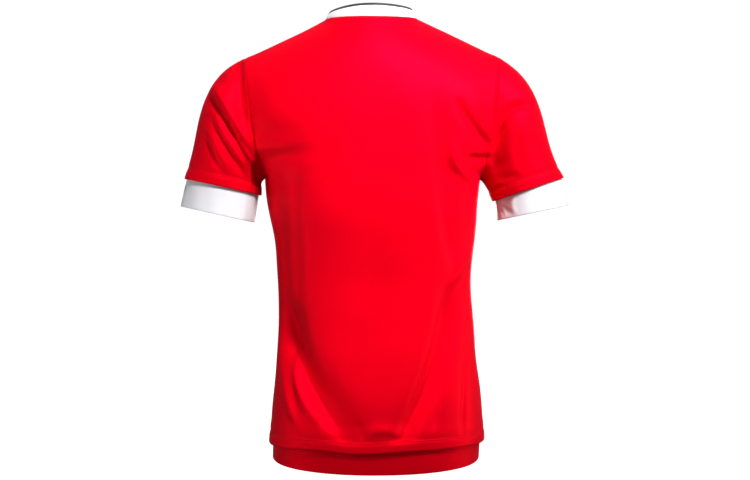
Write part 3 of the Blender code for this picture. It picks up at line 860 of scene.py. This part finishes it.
COLLAR_HEIGHT = (21.8, 11.5, 15.5, 21)  # at the back, the left, the right and the front
COLLAR_LEAN = (0.28, 0.50, 0.50, 0.95)
COLLAR_HALF = 1.0  # half its thickness
COLLAR_RIBS = 204
LINES_A_RIB = 6
RIB_RELIEF = 0.16
RIB_FLATTER, RIB_FLATTER_WIDTH = 0.7, 1.2  # over the fold
COLLAR_ROWS = 10
COLLAR_TOP_LINES = (0.0, 0.6, 1.3, 2.0, 2.6, 3.1, 3.6, 4.1, 4.8)  # below the start of the fold
COLLAR_SOFT = 13.0  # how far its top line is rounded over the neck points
SOFT_COLUMNS = 80
COLLAR_SETTLE = 2.5  # how soon it stands clear of the seam
TIPPING = 4.8  # how deep the black goes from the fold
TIPPING_EDGE = 0.15
TIPPING_GROOVE, GROOVE_BELOW, TIPPING_GROOVE_WIDTH = 0.3, 0.3, 0.5
FOLD_LINES = 7
WHITE = (0.77, 0.76, 0.79)
# Painted shade, as in the red knit: the white knit's hollows are coloured darker than its loops.
WHITE_SHADED_HOLLOW = (0.60, 0.59, 0.63)
BLACK = (0.012, 0.011, 0.014)
COLLAR_PATCH_SCALE = 20.0
COLLAR_ROUGHNESS, COLLAR_UNEVEN, COLLAR_UNEVEN_SCALE = 0.62, 0.12, 60.0
COLLAR_STRENGTH, COLLAR_DEPTH = 0.4, 0.0002
COLLAR_SHEEN, COLLAR_SPECULAR = 0.2, 0.35


def round_weights(ring, count):
    """Weights that lay count points evenly round a closed ring, on a smooth curve."""
    spare = 4  # points that the curve runs on at each end, so that it closes smoothly
    around = np.concatenate([ring, ring[:1]])
    length = np.concatenate([[0], np.cumsum(np.linalg.norm(np.diff(around, axis=0), axis=1))])
    places = np.interp(np.linspace(0, length[-1], count + 1)[:-1], length, range(len(length)))
    order = np.arange(-spare, len(ring) + spare + 1) % len(ring)
    spread = np.zeros((len(order), len(ring)))
    spread[range(len(order)), order] = 1
    return curve_weights(np.arange(len(order)), places + spare) @ spread


def doubled(middle, outward, half):
    """A net all round a doubled band, from its outer face over the fold to its inner one."""
    past = unit(middle[-1] - middle[-2])
    turn = np.linspace(0, math.pi, FOLD_LINES)[1:-1, None, None]
    fold = middle[-1] + half * (np.cos(turn) * outward[-1] + np.sin(turn) * past)
    return np.concatenate([middle + half * outward, fold, (middle - half * outward)[::-1]])


def round_length(grid):
    """How far round each column lies, as its middle row measures it."""
    row = wrapped(grid[len(grid) // 2], 0)
    return np.concatenate([[0], np.cumsum(np.linalg.norm(np.diff(row, axis=0), axis=1))])


neck = slice(
    int(np.searchsorted(body_columns, NECK_CORNERS[0])),
    int(np.searchsorted(body_columns, NECK_CORNERS[1])) + 1,
)
neck_loop, neck_edge = (
    np.concatenate([nets["back"][-1, neck], nets["front"][-1, neck][1:-1]])
    for nets in (base, cloth)
)
collar_weights = round_weights(neck_loop, COLLAR_RIBS * LINES_A_RIB)
loop = collar_weights @ neck_loop
inward = loop.mean(axis=0) - loop
inward[:, 2] = 0
inward = unit(inward)
before = inward[:, 1]
lean, height = (
    beside + (np.where(before < 0, back, front) - beside) * before**2
    for back, beside, front in (
        (back, np.where(inward[:, 0] < 0, left, right), front)
        for back, left, right, front in (COLLAR_LEAN, COLLAR_HEIGHT)
    )
)
rise = unit(inward * lean[:, None] + np.array([0.0, 0.0, 1.0]))
straight = height - COLLAR_HALF
low_rows = np.linspace(0, 1, COLLAR_ROWS + 1)[:-1, None] * (straight - COLLAR_TOP_LINES[-1])
top_rows = straight - np.array(COLLAR_TOP_LINES)[::-1, None]
above_seam = np.concatenate([low_rows, top_rows])
offsets = np.arange(-SOFT_COLUMNS, SOFT_COLUMNS + 1)
shares = close_to(offsets * np.linalg.norm(loop[1] - loop[0]), COLLAR_SOFT)
soft_loop = sum(
    np.roll(loop, offset, axis=0) * share for offset, share in zip(offsets, shares / shares.sum())
)
towards_top = (above_seam / straight)[..., None]
middle = loop + (soft_loop - loop) * towards_top + rise * above_seam[..., None]
grid = doubled(middle, net_normals(middle), COLLAR_HALF)
normals = net_normals(grid, closed_up=True)
below_fold = straight - above_seam + COLLAR_HALF * math.pi / 2
over_fold = np.linspace(0.5, -0.5, FOLD_LINES)[1:-1, None] * COLLAR_HALF * math.pi
below_top = np.concatenate([below_fold, np.repeat(over_fold, len(loop), 1), -below_fold[::-1]])
rib = np.cos(np.arange(len(loop)) / LINES_A_RIB * 2 * math.pi)
out = RIB_RELIEF * rib * (1 - RIB_FLATTER * close_to(below_top, RIB_FLATTER_WIDTH))
out -= TIPPING_GROOVE * close_to(np.abs(below_top) - TIPPING - GROOVE_BELOW, TIPPING_GROOVE_WIDTH)
settle = np.zeros(grid.shape[:2])
settle[:len(middle)] = close_to(above_seam, COLLAR_SETTLE)
grid = grid + normals * (out * (1 - settle))[..., None]
grid += (collar_weights @ neck_edge - grid[0]) * settle[..., None]
round_it = np.repeat(round_length(grid)[None], len(grid) + 1, 0)
up_it = wrapped(wrapped(below_top, 1), 0)
up_it[-1] = up_it[-2] - 2 * COLLAR_HALF

collar_rib, tree, shader = empty_material("collar_rib", WHITE)
height = knit_height(tree)
lowest = -float(up_it.min()) * MM
from_top = maths(tree, "ABSOLUTE", maths(tree, "SUBTRACT", cloth_place(tree)["Y"], lowest))
white_share = new_node(
    tree, "ShaderNodeMapRange",
    [("Value", from_top), ("From Min", (TIPPING - TIPPING_EDGE) * MM),
     ("From Max", (TIPPING + TIPPING_EDGE) * MM)],
    interpolation_type="SMOOTHSTEP",
)
# The collar's white is darker in the rib's hollows, as painted shade.
white = knit_colour(tree, height, tone_noise(tree, COLLAR_PATCH_SCALE), WHITE_SHADED_HOLLOW, WHITE)
uneven = tone_noise(tree, COLLAR_UNEVEN_SCALE)
fill_in(tree, shader, [
    ("Base Color", blend(tree, white_share.outputs[0], BLACK, white)),
    ("Roughness", maths(tree, "MULTIPLY_ADD", uneven, COLLAR_UNEVEN, COLLAR_ROUGHNESS)),
    ("Normal", relief(tree, height, COLLAR_STRENGTH, COLLAR_DEPTH)),
    ("Sheen Weight", COLLAR_SHEEN), ("Specular IOR Level", COLLAR_SPECULAR),
])

piece = cloth_object("rib_collar", grid, round_it, up_it, collar_rib)
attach(piece, "root")
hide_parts("collar")

# ------------------------------------------------------------------------------------- cuffs
# A white band of the jersey's own knit shows below each sleeve. It is doubled with its fold at
# the bottom, and its raw edges are caught inside the sleeve's hem by the hem's stitches.

CUFF_HEMS = (
    ("left", 296, -289, 185, -313, 48),
    ("right", 295, -287, 188, -310, 48),
)
CUFF_INSET = 3.7  # inside the sleeve's hem
CUFF_TUCK = 12  # how far it goes up into the sleeve
CUFF_ROUND = 216
CUFF_LINES = 34
CUFF_HALF = 0.9
CUFF_SWAY = 0.6
CUFF_FOLDS = {
    "left": (
        (278, -262, 283, -278, 288, -296, 0.8, 8, 8, 8, 8),
        (252, -266, 256, -284, 259, -302, 0.6, 9, 9, 9, 9),
        (226, -272, 229, -290, 231, -308, 0.6, 8, 8, 8, 8),
        (204, -278, 206, -294, 207, -312, 0.7, 6, 6, 6, 6),
        (196, -276, 197, -292, 196, -309, -0.7, 4, 4, 4, 4),
    ),
    "right": (
        (-203, -272, -199, -288, -206, -303, 2.4, 5, 5, 5, 5),
        (-211, -276, -208, -290, -213, -300, -1.4, 4, 4, 4, 4),
        (-192, -287, -197, -294, -199, -304, 1.2, 2.2, 2.2, 2.2, 2.2),
        (-189, -293, -193, -299, -196, -306, 1.0, 1.8, 1.8, 1.8, 1.8),
        (-195, -285, -201, -290, -204, -297, -0.9, 2.0, 2.0, 2.0, 2.0),
        (-236, -270, -238, -284, -240, -300, 0.6, 9, 9, 9, 9),
        (-264, -264, -267, -278, -270, -294, 0.6, 9, 9, 9, 9),
    ),
}

white_knit = knit_material(
    "white_knit", WHITE, WHITE_SHADED_HOLLOW,
    roughness=0.5, tint=(1.0, 1.0, 1.0), sheen=0.25, specular=0.4, gloss=0.0,
)


def band_object(name, middle, half, folds, swayed, material):
    """A doubled band on its middle surface, both plies of it folded and swayed together."""
    outward = net_normals(middle)
    at_fold = np.repeat(outward[-1:], FOLD_LINES - 2, 0)
    both = np.concatenate([outward, at_fold, outward[::-1]])
    grid = doubled(middle, outward, half)
    sink = fold_depth(grid, folds) * facing_share(both[..., 1])
    grid = grid + both * (sway(grid) * swayed - sink)[..., None]
    up_it = wrapped(lengths_along(wrapped(grid, 0), 0)[0], 1)
    round_it = np.repeat(round_length(grid)[None], len(grid) + 1, 0)
    return cloth_object(name, grid, round_it, up_it, material)


for side in rows_of(SIDE_COLUMNS, SIDES):
    turns = np.linspace(math.pi, 3 * math.pi, CUFF_ROUND + 1)[:-1, None]
    inside = hem_ring(side, SLEEVE_HEMS, turns, CUFF_INSET)
    foot = hem_ring(side, CUFF_HEMS, turns)
    tucked = inside - hem_directions(side, turns) * CUFF_TUCK
    drop = unit(foot - inside)
    rings = np.array([tucked, inside, foot - drop * CUFF_HALF])
    middle = curve_weights((0, 1, 3), np.linspace(0, 2, CUFF_LINES)) @ rings.reshape(3, -1)
    piece = band_object(
        side["name"] + "_cuff", middle.reshape(CUFF_LINES, -1, 3), CUFF_HALF,
        CUFF_FOLDS[side["name"]], CUFF_SWAY, white_knit,
    )
    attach(piece, "root")
    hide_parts("cuff_" + side["name"])

# ---------------------------------------------------------------------------------- hem band
# A red band of the same knit, doubled with its fold at the bottom, hangs from inside the body's
# hem. It is a little narrower than the body, which blouses out over it.

BAND_EDGE = (-687, -667, -679)
BAND_TUCK = 14  # how far it goes up into the body
BAND_INSET = 3.4  # inside the body's hem
BAND_ROUND = 400
BAND_LINES = 24
BAND_ROWS = 3
BAND_HALF = 1.0
BAND_SWAY = 0.8
BAND_FOLDS = (
    (60, -657, 30, -662, 0, -664, 1.2, 5, 5, 5, 5),
    (84, -664, 50, -674, 12, -682, -0.8, 7, 7, 7, 7),
    (-70, -656, -96, -664, -118, -668, 0.7, 7, 7, 7, 7),
    (128, -652, 124, -664, 118, -676, 0.8, 7, 7, 7, 7),
)

rings = []
left, right = rows_of(SIDE_COLUMNS, SIDES)
quarters = ((right, "back", -1), (left, "back", 1), (left, "front", -1), (right, "front", 1))
for part in np.linspace(0, 1, BAND_ROWS + 1):
    ring = []
    for side, panel, order in quarters:
        top = edge_heights(BODY_EDGE, panel) + BAND_TUCK
        foot = edge_heights(BAND_EDGE, panel) + BAND_HALF
        level = float(np.mean(top + (foot - top) * part))
        row = half_section(side, panel, level, (section_at(level)[side["name"]], 0))
        row[:, :2] *= 1 - BAND_INSET / np.linalg.norm(row[:, :2], axis=1)[:, None]
        row[:, 2] = top + (foot - top) * part
        ring.append(row[::order][:-1])
    rings.append(np.concatenate(ring))
rings = np.array(rings)
weights = round_weights(rings[1], BAND_ROUND)
down = curve_weights(np.arange(BAND_ROWS + 1), np.linspace(0, BAND_ROWS, BAND_LINES))
middle = np.einsum("cj,rjk->rck", weights, np.einsum("ri,ijk->rjk", down, rings))
piece = band_object("lower_band", middle, BAND_HALF, BAND_FOLDS, BAND_SWAY, red_knit)
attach(piece, "root")
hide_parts("hem_band")

# ---------------------------------------------------------------------------------- stitches
# Lockstitches in matching thread: two rows hold each turned hem, and one row below the collar
# holds its seam down. Each stitch is a short bead of thread in the groove that it pulls.

STITCH_SIZES = {"Stitch step": 3.0, "Stitch length": 2.4, "Thread thickness": 0.5}
BEAD_SIDES, BEAD_RINGS = 6, 4
THREAD_OUT = 0.1
NECK_STITCHES = 4.0  # below the collar's seam
THREAD_RED = (0.80, 0.0, 0.012)
THREAD_DARK = (0.52, 0.0, 0.006)
TWIST_SCALE, TWIST_STRENGTH, TWIST_DEPTH = 1400.0, 0.3, 0.0001
THREAD_ROUGHNESS, THREAD_UNEVEN, THREAD_UNEVEN_SCALE = 0.42, 0.1, 300.0
THREAD_SPECULAR = 0.2


def stitch_tree():
    """A tree that lays beads of thread along a path, each flat to the cloth that it lies on."""
    tree = bpy.data.node_groups.new("stitches", "GeometryNodeTree")
    tree.interface.new_socket("Path", in_out="INPUT", socket_type="NodeSocketGeometry")
    for name in STITCH_SIZES:
        tree.interface.new_socket(name, in_out="INPUT", socket_type="NodeSocketFloat")
    tree.interface.new_socket("Thread", in_out="INPUT", socket_type="NodeSocketMaterial")
    tree.interface.new_socket("Stitches", in_out="OUTPUT", socket_type="NodeSocketGeometry")
    given = tree.nodes.new("NodeGroupInput").outputs

    def step(kind, *inputs, **settings):
        return new_node(tree, kind, inputs, **settings).outputs[0]

    curve = step("GeometryNodeMeshToCurve", ("Mesh", given["Path"]))
    evenly = step(
        "GeometryNodeResampleCurve", ("Curve", curve), ("Length", given["Stitch step"]),
        mode="LENGTH",
    )
    along = step("GeometryNodeInputTangent")
    outward = step(
        "GeometryNodeInputNamedAttribute", ("Name", "outward"), data_type="FLOAT_VECTOR",
    )
    turn = step(
        "FunctionNodeAxesToRotation", ("Primary Axis", along), ("Secondary Axis", outward),
        primary_axis="X", secondary_axis="Z",
    )
    thick = given["Thread thickness"]
    size = step("ShaderNodeCombineXYZ", ("X", given["Stitch length"]), ("Y", thick), ("Z", thick))
    bead = step(
        "GeometryNodeMeshUVSphere", ("Segments", BEAD_SIDES), ("Rings", BEAD_RINGS),
        ("Radius", 0.5),
    )
    sized = step("GeometryNodeTransform", ("Geometry", bead), ("Scale", size))
    laid = step(
        "GeometryNodeInstanceOnPoints", ("Points", evenly), ("Instance", sized),
        ("Rotation", turn),
    )
    smooth = step("GeometryNodeSetShadeSmooth", ("Geometry", laid))
    real = step("GeometryNodeRealizeInstances", ("Geometry", smooth))
    threaded = step(
        "GeometryNodeSetMaterial", ("Geometry", real), ("Material", given["Thread"]),
    )
    new_node(tree, "NodeGroupOutput", [("Stitches", threaded)])
    return tree


def line_at(net, measure, distance):
    """The line over a net where a measure, which grows along its columns, has one value."""
    return np.array([
        [np.interp(distance, measure[:, column], net[:, column, axis]) for axis in range(3)]
        for column in range(net.shape[1])
    ])


def sewn(name, paths):
    """Stitches along closed paths, each a pair of its points and the way they face."""
    points = np.concatenate([path + facing_out * THREAD_OUT for path, facing_out in paths])
    edges = []
    for path, _ in paths:
        start = len(edges)
        edges += [(start + step, start + (step + 1) % len(path)) for step in range(len(path))]
    piece = mesh_object(name, points, edges)
    outward = piece.data.attributes.new("outward", "FLOAT_VECTOR", "POINT")
    outward.data.foreach_set("vector", np.concatenate([face for _, face in paths]).reshape(-1))
    modifier = piece.modifiers.new("stitches", "NODES")
    modifier.node_group = stitches
    for item in stitches.interface.items_tree:
        if item.name in STITCH_SIZES:
            modifier[item.identifier] = STITCH_SIZES[item.name] * MM
        if item.name == "Thread":
            modifier[item.identifier] = thread
    done = piece.evaluated_get(bpy.context.evaluated_depsgraph_get())
    piece.data = bpy.data.meshes.new_from_object(done)
    piece.modifiers.clear()
    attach(piece, "root")


thread, tree, shader = empty_material("red_thread", THREAD_RED)
twist = tone_noise(tree, TWIST_SCALE, 1.0)
uneven = tone_noise(tree, THREAD_UNEVEN_SCALE)
fill_in(tree, shader, [
    ("Base Color", blend(tree, twist, THREAD_DARK, THREAD_RED)),
    ("Roughness", maths(tree, "MULTIPLY_ADD", uneven, THREAD_UNEVEN, THREAD_ROUGHNESS)),
    ("Normal", relief(tree, twist, TWIST_STRENGTH, TWIST_DEPTH)),
    ("Specular IOR Level", THREAD_SPECULAR),
])
stitches = stitch_tree()
cloth_facing = {panel: net_normals(net, closed_round=False) for panel, net in cloth.items()}

sewn("hem_stitches", [
    [np.concatenate([
        line_at(nets[panel], body_measures[panel][1], row)[:-1] for panel in cloth
    ]) for nets in (cloth, cloth_facing)]
    for row in HEM_STITCHES
])
for side, (net, from_hem) in sleeves.items():
    sewn(side + "_sleeve_stitches", [
        [line_at(values, from_hem, row) for values in (net, net_normals(net))]
        for row in HEM_STITCHES
    ])
below_seam = {panel: lengths_along(net[::-1], 0)[0] for panel, net in cloth.items()}
sewn("neck_stitches", [
    [np.concatenate([
        line_at(nets[panel][::-1, neck], below_seam[panel][:, neck], NECK_STITCHES)[:-1]
        for panel in cloth
    ]) for nets in (cloth, cloth_facing)]
])

# ------------------------------------------------------------------------------------- stage
# A white photo studio. The floor glows a little and is seen by the camera alone, so the jersey
# keeps its shadows, and small lamps close to it draw out its folds from the sides.

FLOOR_HALF = 12000
FLOOR_HEIGHT = -1150
FLOOR_TONE = 0.9
FLOOR_ROUGHNESS = 0.9
FLOOR_GLOW = 1.1
WHITE_LIGHT = (1.0, 1.0, 1.0, 1.0)
WORLD_LIGHT = 0.19
WORLD_SEEN = 0.86  # added where the camera looks straight at it

corners = ((-1, -1), (1, -1), (1, 1), (-1, 1))
floor = mesh_object(
    "floor", [(x * FLOOR_HALF, y * FLOOR_HALF, FLOOR_HEIGHT) for x, y in corners],
    faces=[(0, 1, 2, 3)],
)
pale, tree, shader = empty_material("pale_floor", (FLOOR_TONE, FLOOR_TONE, FLOOR_TONE))
fill_in(tree, shader, [
    ("Base Color", (FLOOR_TONE, FLOOR_TONE, FLOOR_TONE, 1.0)), ("Roughness", FLOOR_ROUGHNESS),
    ("Emission Color", WHITE_LIGHT), ("Emission Strength", FLOOR_GLOW),
])
floor.data.materials.append(pale)
floor.visible_diffuse = False
floor.visible_glossy = False

world = bpy.data.worlds.new("studio")
bpy.context.scene.world = world
world.use_nodes = True
tree = world.node_tree
seen = new_node(tree, "ShaderNodeLightPath").outputs["Is Camera Ray"]
strength = maths(tree, "MULTIPLY_ADD", seen, WORLD_SEEN, WORLD_LIGHT)
fill_in(tree, tree.nodes["Background"], [("Color", WHITE_LIGHT), ("Strength", strength)])

LIGHT_COLUMNS = ("name", "x", "y", "z", "size", "watts", "spread", "aim_x", "aim_y", "aim_z")
LIGHTS = (
    ("key", -0.4, 0.93, 0.93, 0.5, 1.85, 23.5, -0.01, 0.1, -0.1),
    ("top", -0.9, 0.65, 0.4, 0.4, 1.3, 43, -0.22, 0.05, -0.14),
    ("right_side", -1.2, 0.1, -0.5, 0.5, 0.28, 34, 0.0, 0.0, -0.58),
    ("left_side", 1.1, 0.15, -0.6, 0.5, 0.23, 24, 0.28, 0.0, -0.2),
    ("left_low", 1.2, 0.4, -0.6, 0.5, 0.14, 30, 0.13, 0.05, -0.64),
    ("right_low", 0.5, 0.95, 0.1, 0.4, 0.17, 21, -0.18, 0.1, -0.57),
    ("front", -0.2, -1.5, -0.3, 0.8, 12, 180, 0.0, 0.0, -0.3),
)
for light in rows_of(LIGHT_COLUMNS, LIGHTS):
    lamp = bpy.data.lights.new(light["name"], "AREA")
    lamp.shape = "DISK"
    lamp.size = light["size"]
    lamp.energy = light["watts"]
    lamp.spread = math.radians(light["spread"])
    stand = new_object(light["name"], lamp)
    stand.location = (light["x"], light["y"], light["z"])
    away = Vector(stand.location) - Vector([light["aim_" + axis] for axis in "xyz"])
    stand.rotation_euler = away.to_track_quat("Z", "Y").to_euler()
    stand.visible_camera = False

LENS = 94.1
SENSOR = 36.0
CAMERA_PLACE = (0.0, 3.0, -0.34)
lens = bpy.data.cameras.new("camera")
lens.lens = LENS
lens.sensor_width = SENSOR
camera = new_object("camera", lens)
camera.location = CAMERA_PLACE
camera.rotation_euler = (math.pi / 2, 0.0, math.pi)
bpy.context.scene.camera = camera
bpy.context.scene.view_settings.view_transform = "Standard"
